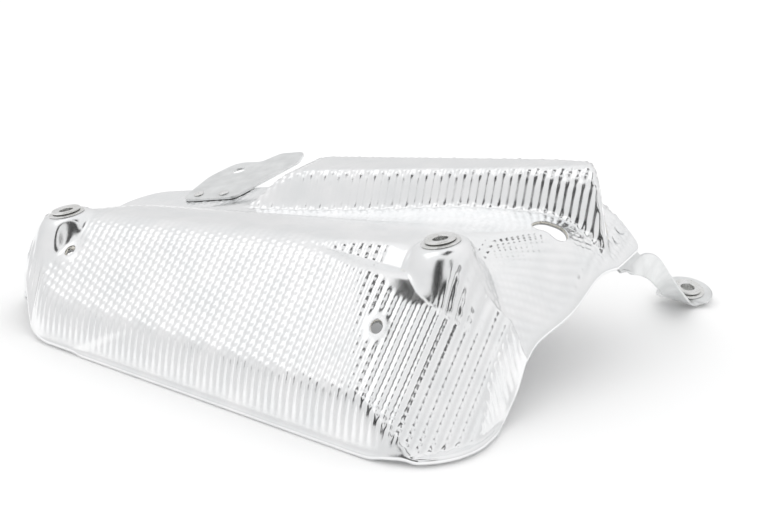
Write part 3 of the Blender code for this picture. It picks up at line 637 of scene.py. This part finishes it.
def make_outer(mat):
    """The outer sheet: the embossed grid, with its rim rolled round the other layers."""
    plan = plan_grid(*(((384, 96, 26, 142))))
    points, normal = surface(plan, 0.0, 1.0)
    rows, cols = plan.shape[:2]
    faces = [grid_faces(rows, cols)]
    verts = [points.reshape(-1, 3)]
    edge, edge_normal = border(points), border(normal)
    out = np.cross(np.roll(edge, -1, axis=0) - np.roll(edge, 1, axis=0), edge_normal)
    out /= np.linalg.norm(out, axis=-1, keepdims=True)
    for _ in range(3):
        out = (np.roll(out, 1, axis=0) + out + np.roll(out, -1, axis=0)) / 3.0
        out /= np.linalg.norm(out, axis=-1, keepdims=True)
    ring = border(np.arange(rows * cols).reshape(rows, cols)[..., None])[:, 0]
    start = rows * cols
    rolls = [edge + HEM_R * ((math.cos(a) - 1.0) * edge_normal + math.sin(a) * out)
             for a in np.radians(np.linspace(18.0, 180.0, 10))]
    rolls += [rolls[-1] - out * back for back in (1.0, 2.0, HEM_RETURN)]
    for roll in rolls:
        after = np.arange(start, start + len(ring))
        verts.append(roll)
        faces.append(np.stack([np.roll(ring, -1), ring, after, np.roll(after, -1)], axis=-1))
        ring, start = after, start + len(ring)
    obj = new_object("outer_sheet_visual", np.concatenate(verts), np.concatenate(faces), mat)
    open_holes(obj, 0.0, 3)
    thicken(obj, OUTER_SKIN_T)
    finish_piece(obj, "shell", "outer_sheet")


def make_under(name, node, depth, thickness, relief, count, mat):
    """A hidden layer, at a depth below the outer face."""
    plan = plan_grid(*count)
    points, _ = surface(plan, depth, relief)
    obj = new_object(name, points.reshape(-1, 3), grid_faces(*plan.shape[:2]), mat)
    open_holes(obj, depth, 4)
    thicken(obj, thickness)
    finish_piece(obj, "shell", node)


# ---- Turned pieces ------------------------------------------------------------------------------------
def seat_frame(centre, normal):
    """Placement whose Z is the bolt axis and whose X is as near world X as the axis allows."""
    z = Vector(normal).normalized()
    x = (Vector((1.0, 0.0, 0.0)) - z * z.x).normalized()
    y = z.cross(x)
    return np.array(centre, float), np.array([x, y, z])


def sheet_frame(x, y):
    """Placement on the outer face of the sheet, square to it."""
    x, y = np.array(float(x)), np.array(float(y))
    return seat_frame((float(x), float(y), float(sheet_height(x, y))), sheet_normal(x, y))


def rounded(profile, radius, steps=4):
    """An (r, z) profile with its corners rounded."""
    out = []
    count = len(profile)
    for k, point in enumerate(profile):
        here = np.array(point, float)
        before, after = np.array(profile[k - 1], float), np.array(profile[(k + 1) % count], float)
        a, b = before - here, after - here
        reach = min(radius, 0.45 * np.linalg.norm(a), 0.45 * np.linalg.norm(b))
        a, b = here + a / np.linalg.norm(a) * reach, here + b / np.linalg.norm(b) * reach
        for t in np.linspace(0.0, 1.0, steps + 1):
            out.append((1 - t) ** 2 * a + 2 * t * (1 - t) * here + t ** 2 * b)
    return np.array(out)


def turned(name, profile, place, mat, steps=96, relief=None):
    """A closed (r, z) profile turned about the placement's axis; relief() gives small shifts of r and z."""
    centre, axes = place
    angles = np.arange(steps) * 2.0 * np.pi / steps
    r, z = profile[:, 0][None, :], profile[:, 1][None, :]
    a = angles[:, None]
    dr, dz = relief(a, np.arange(len(profile))[None, :], r) if relief else (0.0, 0.0)
    local = np.stack([(r + dr) * np.cos(a), (r + dr) * np.sin(a), z + dz + 0.0 * a], axis=-1)
    points = centre + local @ axes
    index = np.arange(steps * len(profile)).reshape(steps, len(profile))
    after = np.roll(index, -1, 0)
    faces = np.stack([index, np.roll(index, -1, 1), np.roll(after, -1, 1), after], axis=-1)
    obj = new_object(name, points.reshape(-1, 3), faces.reshape(-1, 4), mat)
    fix_normals(obj)
    return obj


def fix_normals(obj):
    """Merge points that coincide and turn all faces outwards."""
    bm = bmesh.new()
    bm.from_mesh(obj.data)
    bmesh.ops.remove_doubles(bm, verts=bm.verts, dist=0.000002)
    bmesh.ops.recalc_face_normals(bm, faces=bm.faces)
    bm.to_mesh(obj.data)
    bm.free()


def make_decoupler(side, place, seat_t, mats):
    """The four pieces of a bolt seat: retainer ring, wire-mesh ring, flanged sleeve and lower washer."""
    top = RETAINER_GAP + RETAINER_T
    low = -seat_t - top
    retainer = (
        (RETAINER_FLANGE_R, top),
        (RETAINER_FLANGE_R, RETAINER_GAP - 0.3),
        (RETAINER_OUT_R, RETAINER_GAP - 0.1),
        (RETAINER_OUT_R, low + RETAINER_T),
        (RETAINER_FOOT_R, low + RETAINER_T),
        (RETAINER_FOOT_R, low),
        (RETAINER_IN_R, low),
        (RETAINER_IN_R, top + 0.35),
        (RETAINER_IN_R + 0.7, top + 0.25),
    )
    obj = turned(side + "_retainer_visual", rounded(retainer, 0.4), place, mats["steel"])
    finish_piece(obj, "shell", side + "_retainer_ring")

    mesh_top, mesh_low = top + MESH_PROUD, low - MESH_PROUD
    middle_r = (MESH_IN_R + MESH_OUT_R) / 2.0
    core = (
        (MESH_OUT_R, mesh_top),
        (MESH_OUT_R, mesh_low),
        (MESH_IN_R, mesh_low),
        (MESH_IN_R, mesh_top),
    )

    def knit(a, k, r):
        """Small waves of the wire round the ring and along its profile."""
        wave = 0.12 * np.cos(60.0 * a + 1.6 * k) * np.cos(1.1 * k + 0.0 * a)
        return wave * np.sign(r - middle_r), 0.5 * wave

    obj = turned(side + "_mesh_visual", rounded(core, 0.8, 8), place, mats["mesh"], 360, knit)
    finish_piece(obj, side + "_mesh", side + "_mesh_ring")

    flange = mesh_top + LAYER_GAP
    foot = mesh_low - LAYER_GAP - WASHER_T
    sleeve = (
        (SLEEVE_FLANGE_R - 0.9, flange + 1.5),
        (SLEEVE_FLANGE_R, flange + 1.2),
        (SLEEVE_FLANGE_R, flange),
        (SLEEVE_R, flange),
        (SLEEVE_R, foot),
        (BORE_R, foot),
        (BORE_R, flange + 0.6),
        (BORE_R + 0.5, flange + 1.0),
        (SLEEVE_FLANGE_R - 1.9, flange + 1.0),
    )
    obj = turned(side + "_sleeve_visual", rounded(sleeve, 0.45), place, mats["steel"])
    finish_piece(obj, side + "_sleeve", side + "_sleeve")

    hole = SLEEVE_R + LAYER_GAP
    washer = (
        (SLEEVE_FLANGE_R, foot + WASHER_T),
        (SLEEVE_FLANGE_R, foot),
        (hole, foot),
        (hole, foot + WASHER_T),
    )
    obj = turned(side + "_washer_visual", rounded(washer, 0.25), place, mats["steel"])
    finish_piece(obj, side + "_sleeve", side + "_lower_washer")


def make_rivet(node, place, top, bottom, mat, head_t=RIVET_HEAD_T):
    """A rivet with a domed head on top and a set foot below."""
    rise = 0.15
    dome = [(RIVET_HEAD_R * math.cos(a) + 0.001, top + rise + (head_t - rise) * math.sin(a))
            for a in np.radians(np.linspace(89.9, 0.0, 10))]
    foot_r = RIVET_HEAD_R - 0.5
    shank = [(RIVET_HEAD_R, top), (RIVET_R, top), (RIVET_R, bottom)]
    foot = [(foot_r, bottom), (foot_r, bottom - 0.6), (foot_r - 0.4, bottom - 0.9), (0.05, bottom - 0.9)]
    obj = turned(node + "_visual", np.array(dome + shank + foot), place, mat, 40)
    finish_piece(obj, "shell", node)


# ---- Side bracket -------------------------------------------------------------------------------------
EYE_R = 16.0
EYE_FLAT = 13.5
TAB_REACH = 14.0
CURVE_STEPS = 24
TAB_YS = (79.0, 90.0, 101.0)
BEND_LINE = ((200.5, 79.0), (204.0, 101.0))
STRAP_UPPER = ((206.5, 109.0, 59.0), (209.5, 119.0, 54.0), (213.0, 137.0, 38.0), (217.5, 157.0, 19.0))
STRAP_LOWER = ((203.5, 81.0, 56.0), (204.5, 88.0, 52.0), (205.5, 98.0, 48.5), (206.0, 107.0, 44.6),
               (206.0, 120.0, 38.0), (206.0, 139.0, 26.0), (203.0, 160.0, 15.0))


def tab_height(x, y):
    """Height of the tab's underside: a plane below the neck that clears the hem."""
    return neck_plane(x, y) - (SIDE_TAB_OFFSET + BRACKET_T) * math.hypot(1.0, NECK_SLOPE, NECK_TILT)


def eye_plane_z(x, y):
    """Height of the plane of the eye's upper face."""
    cx, cy, cz = EYE_CENTRE
    nx, ny, nz = EYE_NORMAL
    return cz - (nx * (x - cx) + ny * (y - cy)) / nz


def smooth_curve(points):
    """A Catmull-Rom curve through points, with CURVE_STEPS steps from each to the next."""
    p = np.array(points, float)
    p = np.vstack([2 * p[0] - p[1], p, 2 * p[-1] - p[-2]])
    out = []
    for k in range(1, len(p) - 2):
        a, b, c, d = p[k - 1], p[k], p[k + 1], p[k + 2]
        square, cube = 2 * a - 5 * b + 4 * c - d, 3 * b - a - 3 * c + d
        for t in np.linspace(0.0, 1.0, CURVE_STEPS, endpoint=False):
            out.append(0.5 * (2 * b + (c - a) * t + square * t ** 2 + cube * t ** 3))
    out.append(p[-2])
    return np.array(out)


def strap_edges():
    """The strap's lower and upper edges, from the tab below the neck to the middle of the eye."""
    (x0, y0), (x1, y1) = BEND_LINE
    upper = []
    for y in TAB_YS:
        x = x0 + (x1 - x0) * (y - y0) / (y1 - y0)
        upper.append((x, y, tab_height(x, y)))
    upper += STRAP_UPPER
    lower = list(STRAP_LOWER)
    cx, cy = EYE_CENTRE[:2]
    for along in (-EYE_FLAT, -7.0, 0.0):
        right = math.sqrt(EYE_R ** 2 - along ** 2)
        for edge, side in ((lower, -EYE_R), (upper, right)):
            edge.append((cx + side, cy + along, eye_plane_z(cx + side, cy + along)))
    return smooth_curve(lower), smooth_curve(upper)


def make_side_bracket(mat):
    """The tab under the neck, the twisted strap that leaves it at the bend, and the eye at its end."""
    lower, upper = strap_edges()
    columns = 25
    across = np.linspace(0.0, 1.0, columns)[None, :, None]
    web = lower[:, None, :] * (1.0 - across) + upper[:, None, :] * across
    cx, cy = EYE_CENTRE[:2]
    cap = []
    for angle in np.radians(np.linspace(3.0, 90.0, 24)):
        half, y = EYE_R * math.cos(angle), cy + EYE_R * math.sin(angle)
        xs = cx + np.linspace(-half, half, columns)
        cap.append(np.stack([xs, np.full(columns, y), eye_plane_z(xs, y)], axis=-1))
    web = np.concatenate([web, np.array(cap)])
    obj = new_object("side_bracket_visual", web.reshape(-1, 3), grid_faces(*web.shape[:2]), mat)

    beyond = np.abs(upper[:, 1] - TAB_YS[0]) > abs(TAB_YS[-1] - TAB_YS[0]) + 0.01
    bend = upper[:int(np.argmax(beyond))]
    reach = np.linspace(0.0, TAB_REACH, 12)[None, :]
    xs = bend[:, 0, None] - reach
    ys = bend[:, 1, None] + 0.0 * reach
    lift = (bend[:, 2] - tab_height(bend[:, 0], bend[:, 1]))[:, None] * (1.0 - reach / TAB_REACH)
    tab = np.stack([xs, ys, tab_height(xs, ys) + lift], axis=-1)
    bm = bmesh.new()
    bm.from_mesh(obj.data)
    verts = [bm.verts.new(to_frame(p)) for p in tab.reshape(-1, 3)]
    for quad in grid_faces(*tab.shape[:2]):
        bm.faces.new([verts[k] for k in quad])
    bmesh.ops.remove_doubles(bm, verts=bm.verts, dist=0.00002)
    bmesh.ops.recalc_face_normals(bm, faces=bm.faces)
    bm.to_mesh(obj.data)
    bm.free()
    cut_round(obj, *seat_frame(EYE_CENTRE, EYE_NORMAL), EYE_HOLE_R)
    thicken(obj, BRACKET_T)
    finish_piece(obj, "shell", "side_bracket")


def cut_round(obj, centre, axes, radius):
    """Open a round hole in an open surface: points inside go, and the ring round it moves to the edge."""
    bm = bmesh.new()
    bm.from_mesh(obj.data)

    def place(v):
        """Position of a vertex in the hole's placement, and its distance from the axis."""
        local = (np.array(v.co) / MM + ORIGIN - centre) @ axes.T
        return local, math.hypot(local[0], local[1])

    lost = set()
    for v in bm.verts:
        local, r = place(v)
        if abs(local[2]) < 6.0 and r < radius:
            lost.add(v)
    for v in {w for v in lost for f in v.link_faces for w in f.verts} - lost:
        local, r = place(v)
        local[:2] *= radius / r
        v.co = Vector(to_frame(centre + local @ axes))
    bmesh.ops.delete(bm, geom=list(lost), context="VERTS")
    bm.to_mesh(obj.data)
    bm.free()


# ---- Rear tab -----------------------------------------------------------------------------------------
REAR_TAB_OUTLINE = (
    (-110.0, 95.0, 8.0),
    (-68.0, 97.0, 8.0),
    (-50.0, 150.0, 8.0),
    (-55.0, 167.0, 7.0),
    (-74.0, 166.0, 6.0),
    (-82.0, 153.0, 6.0),
    (-102.0, 154.0, 11.0),
    (-111.0, 132.0, 20.0),
)
REAR_TAB_HOLE = (-92.0, 140.0)
REAR_TAB_HOLE_R = 4.5


def rear_tab_frame(x, y):
    """Placement on the underside of the rear tab, square to it."""
    return seat_frame((x, y, float(rear_flange_z(x, y)) + REAR_TAB_GAP), (-0.18, -0.182, 1.0))


def make_rear_tab(mat):
    """A flat plate with a round hole, parallel to the rear flange."""
    outline = filled_in(filleted(REAR_TAB_OUTLINE, math.radians(5.0)), 2.5)
    cx, cy = REAR_TAB_HOLE
    hole = [(cx + REAR_TAB_HOLE_R * math.cos(a), cy + REAR_TAB_HOLE_R * math.sin(a))
            for a in np.linspace(0.0, 2.0 * np.pi, 48, endpoint=False)]
    bm = bmesh.new()
    edges = []
    for loop in (outline, hole):
        verts = [bm.verts.new(to_frame((x, y, float(rear_flange_z(x, y)) + REAR_TAB_GAP))) for x, y in loop]
        edges += [bm.edges.new((a, b)) for a, b in zip(verts, verts[1:] + verts[:1])]
    bmesh.ops.triangle_fill(bm, edges=edges, use_beauty=True)
    bm.normal_update()
    for face in bm.faces:
        if face.normal.z > 0.0:
            face.normal_flip()
    mesh = bpy.data.meshes.new("rear_tab_visual")
    bm.to_mesh(mesh)
    bm.free()
    obj = bpy.data.objects.new("rear_tab_visual", mesh)
    bpy.context.scene.collection.objects.link(obj)
    mesh.materials.append(mat)
    thicken(obj, BRACKET_T)
    bevel = obj.modifiers.new("edges", "BEVEL")
    bevel.width = 0.35 * MM
    bevel.segments = 3
    bevel.limit_method = "ANGLE"
    finish_piece(obj, "shell", "rear_tab")


# ---- Materials ----------------------------------------------------------------------------------------
class Nodes:
    """Short names for building one material's node tree."""

    def __init__(self, name, colour, metallic, roughness):
        self.mat = bpy.data.materials.new(name)
        self.mat.use_nodes = True
        self.tree = self.mat.node_tree
        self.shader = self.tree.nodes["Principled BSDF"]
        self.shader.inputs["Base Color"].default_value = (*colour, 1.0)
        self.shader.inputs["Metallic"].default_value = metallic
        self.shader.inputs["Roughness"].default_value = roughness
        self.coords = self.tree.nodes.new("ShaderNodeTexCoord").outputs["Object"]

    def colour(self, source, stops):
        self.link(self.ramp(source, stops), self.shader.inputs["Base Color"])

    def roughness(self, source, low, high):
        self.link(self.range(source, low, high), self.shader.inputs["Roughness"])

    def link(self, a, b):
        self.tree.links.new(a, b)

    def noise(self, scale, detail=3.0, stretch=None):
        node = self.tree.nodes.new("ShaderNodeTexNoise")
        node.inputs["Scale"].default_value = scale
        node.inputs["Detail"].default_value = detail
        source = self.coords
        if stretch:
            mapping = self.tree.nodes.new("ShaderNodeMapping")
            mapping.inputs["Scale"].default_value = stretch
            self.link(source, mapping.inputs["Vector"])
            source = mapping.outputs["Vector"]
        self.link(source, node.inputs["Vector"])
        return node.outputs["Fac"]

    def ramp(self, source, stops):
        node = self.tree.nodes.new("ShaderNodeValToRGB")
        elements = node.color_ramp.elements
        while len(elements) < len(stops):
            elements.new(0.5)
        for element, (position, colour) in zip(elements, stops):
            element.position = position
            element.color = (*colour, 1.0)
        self.link(source, node.inputs["Fac"])
        return node.outputs["Color"]

    def range(self, source, low, high):
        node = self.tree.nodes.new("ShaderNodeMapRange")
        node.inputs["To Min"].default_value = low
        node.inputs["To Max"].default_value = high
        self.link(source, node.inputs["Value"])
        return node.outputs["Result"]

    def bump(self, source, strength, distance):
        node = self.tree.nodes.new("ShaderNodeBump")
        node.inputs["Strength"].default_value = strength
        node.inputs["Distance"].default_value = distance
        self.link(source, node.inputs["Height"])
        self.link(node.outputs["Normal"], self.shader.inputs["Normal"])


def bright_aluminium():
    n = Nodes("bright_aluminium_visual", (0.93, 0.935, 0.94), 1.0, 0.2)
    n.colour(n.noise(55.0), [(0.3, (0.9, 0.91, 0.915)), (0.7, (0.97, 0.97, 0.972))])
    n.roughness(n.noise(240.0, 5.0), 0.14, 0.26)
    n.bump(n.noise(900.0, 6.0, (1.0, 0.15, 1.0)), 0.12, 0.0002)
    return n.mat


def dull_aluminium():
    n = Nodes("dull_aluminium_visual", (0.72, 0.73, 0.74), 1.0, 0.42)
    n.colour(n.noise(40.0), [(0.3, (0.66, 0.67, 0.68)), (0.7, (0.78, 0.785, 0.79))])
    n.roughness(n.noise(300.0, 5.0), 0.34, 0.52)
    n.bump(n.noise(700.0, 6.0), 0.15, 0.0002)
    return n.mat


def glass_fibre():
    n = Nodes("glass_fibre_visual", (0.78, 0.75, 0.68), 0.0, 0.92)
    fibres = n.noise(1500.0, 8.0, (1.0, 0.2, 1.0))
    n.colour(fibres, [(0.35, (0.6, 0.57, 0.5)), (0.65, (0.86, 0.84, 0.78))])
    n.bump(fibres, 0.6, 0.0005)
    return n.mat


def plated_steel():
    n = Nodes("plated_steel_visual", (0.8, 0.8, 0.79), 1.0, 0.3)
    n.colour(n.noise(160.0), [(0.3, (0.72, 0.72, 0.7)), (0.7, (0.86, 0.86, 0.86))])
    n.roughness(n.noise(600.0, 4.0), 0.2, 0.38)
    n.bump(n.noise(1800.0, 4.0), 0.1, 0.0001)
    return n.mat


def knitted_wire():
    n = Nodes("knitted_wire_visual", (0.5, 0.49, 0.47), 1.0, 0.45)
    wires = n.noise(2600.0, 4.0)
    n.colour(wires, [(0.4, (0.08, 0.08, 0.075)), (0.6, (0.62, 0.6, 0.57))])
    n.bump(wires, 0.8, 0.0004)
    return n.mat


def aluminised_steel():
    n = Nodes("aluminised_steel_visual", (0.8, 0.81, 0.81), 1.0, 0.38)
    n.colour(n.noise(90.0, 4.0), [(0.3, (0.74, 0.75, 0.75)), (0.7, (0.86, 0.87, 0.87))])
    n.roughness(n.noise(500.0, 5.0), 0.34, 0.5)
    n.bump(n.noise(1100.0, 5.0), 0.18, 0.0002)
    return n.mat


# ---- Assembly -----------------------------------------------------------------------------------------
mats = {
    "outer": bright_aluminium(),
    "inner": dull_aluminium(),
    "mat": glass_fibre(),
    "steel": plated_steel(),
    "mesh": knitted_wire(),
    "strap": aluminised_steel(),
}
make_outer(mats["outer"])
make_under("insulation_mat_visual", "insulation_mat", MAT_OFFSET, MAT_T, 0.0,
           (150, 40, 10, 60), mats["mat"])
make_under("inner_sheet_visual", "inner_sheet", INNER_OFFSET, SHEET_T, 0.8,
           ((250, 66, 18, 98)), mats["inner"])
make_side_bracket(mats["strap"])
make_rear_tab(mats["strap"])
make_decoupler("left", sheet_frame(*LEFT_SEAT), LAMINATE_T, mats)
make_decoupler("right", sheet_frame(*RIGHT_SEAT), LAMINATE_T, mats)
make_decoupler("side", seat_frame(EYE_CENTRE, EYE_NORMAL), BRACKET_T, mats)
under_side = -SIDE_TAB_OFFSET - BRACKET_T - LAYER_GAP
for k, spot in enumerate(SIDE_RIVETS, 1):
    make_rivet("side_rivet_%d" % k, sheet_frame(*spot), 0.3, under_side - 0.3, mats["outer"], 0.6)
for k, spot in enumerate(REAR_RIVETS, 1):
    make_rivet("rear_rivet_%d" % k, rear_tab_frame(*spot), BRACKET_T + LAYER_GAP, -LAMINATE_T - 1.0,
               mats["steel"])


# ---- Stage --------------------------------------------------------------------------------------------
def stage_material(name, colour, roughness):
    mat = bpy.data.materials.new(name)
    mat.use_nodes = True
    shader = mat.node_tree.nodes["Principled BSDF"]
    shader.inputs["Base Color"].default_value = (*colour, 1.0)
    shader.inputs["Roughness"].default_value = roughness
    shader.inputs["Specular IOR Level"].default_value = 0.1
    return mat


def add_plane(name, centre, x_side, y_side, mat):
    centre, x_side, y_side = (np.array(v, float) for v in (centre, x_side, y_side))
    corners = [centre + a * x_side / 2 + b * y_side / 2 for a, b in ((-1, -1), (1, -1), (1, 1), (-1, 1))]
    mesh = bpy.data.meshes.new(name)
    mesh.from_pydata([tuple(c) for c in corners], [], [(0, 1, 2, 3)])
    mesh.materials.append(mat)
    obj = bpy.data.objects.new(name, mesh)
    bpy.context.scene.collection.objects.link(obj)
    return obj


def add_card(name, centre, x_side, y_side):
    """A dark card that only shows as a reflection in the metal."""
    card = add_plane(name, centre, x_side, y_side, dark)
    card.visible_camera = False
    card.visible_shadow = False
    card.visible_diffuse = False


def add_light(name, location, target, side, power):
    """A square area light that looks at a target."""
    light = bpy.data.lights.new(name, "AREA")
    light.size = side
    light.energy = power
    obj = bpy.data.objects.new(name, light)
    obj.location = location
    obj.rotation_euler = (Vector(target) - Vector(location)).to_track_quat("-Z", "Y").to_euler()
    bpy.context.scene.collection.objects.link(obj)


def add_world():
    """A white tent: even for the floor, and a little darker towards the horizon where metal mirrors it."""
    world = bpy.data.worlds.new("studio")
    world.use_nodes = True
    bpy.context.scene.world = world
    tree = world.node_tree
    coords = tree.nodes.new("ShaderNodeTexCoord")
    split = tree.nodes.new("ShaderNodeSeparateXYZ")
    ramp = tree.nodes.new("ShaderNodeValToRGB")
    tree.links.new(coords.outputs["Generated"], split.inputs[0])
    tree.links.new(split.outputs["Z"], ramp.inputs["Fac"])
    elements = ramp.color_ramp.elements
    for element, (position, level) in zip((elements[0], elements.new(0.4), elements[1]), TENT):
        element.position = position
        element.color = (level, level, level * 1.005, 1.0)
    path = tree.nodes.new("ShaderNodeLightPath")
    mix = tree.nodes.new("ShaderNodeMix")
    mix.data_type = "RGBA"
    mix.inputs[6].default_value = (DAYLIGHT, DAYLIGHT, DAYLIGHT, 1.0)
    tree.links.new(path.outputs["Is Glossy Ray"], mix.inputs[0])
    tree.links.new(ramp.outputs["Color"], mix.inputs[7])
    tree.links.new(mix.outputs[2], tree.nodes["Background"].inputs["Color"])
    tree.nodes["Background"].inputs["Strength"].default_value = 1.0


# Brightness of the tent for the floor and, by height, for the metal's reflections.
DAYLIGHT = 1.12
TENT = ((0.0, 0.74), (0.45, 0.81), (1.0, 0.94))
FLOOR_SIDE = 6.0
CAMERA_PLACE = (0.4222, -0.6342, 0.329)
CAMERA_DIRECTION = (-0.4368, 0.8320, -0.3420)

# The visual hem dips a little below the CAD's lowest point, so the floor lies below the visual model.
floor_z = float(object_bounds()[0][2]) - 0.0001
add_plane("floor", (0.0, 0.0, floor_z), (FLOOR_SIDE, 0.0, 0.0), (0.0, FLOOR_SIDE, 0.0),
          stage_material("pale_floor", (0.95, 0.95, 0.95), 0.9))
add_world()
add_light("key", (-1.0, -0.5, 1.9), (0.0, 0.0, 0.0), 1.2, 1.2)
dark = stage_material("dark_card", (0.012, 0.012, 0.012), 1.0)
for name, azimuth, distance, height, width, tall in (
    ("card_front", 12.0, 1.5, 1.1, 0.75, 1.4),
    ("card_right", 52.0, 1.6, 1.0, 0.22, 1.2),
):
    c, sn = math.cos(math.radians(azimuth)), math.sin(math.radians(azimuth))
    place = (distance * sn, -distance * c, height)
    add_card(name, place, (width * c, width * sn, 0.0), (0.0, 0.0, tall))
add_card("card_over", (0.2687, -0.2687, 1.25), (0.4, 0.0, 0.0), (0.0, 0.5, 0.0))

camera_data = bpy.data.cameras.new("camera")
camera_data.lens = 66.58
camera_data.sensor_width = 36.0
camera_data.clip_start = 0.01
camera = bpy.data.objects.new("camera", camera_data)
camera.location = Vector(CAMERA_PLACE) - Vector(ORIGIN) * MM
camera.rotation_euler = Vector(CAMERA_DIRECTION).to_track_quat("-Z", "Y").to_euler()
bpy.context.scene.collection.objects.link(camera)
bpy.context.scene.camera = camera
bpy.context.scene.view_settings.view_transform = "Standard"
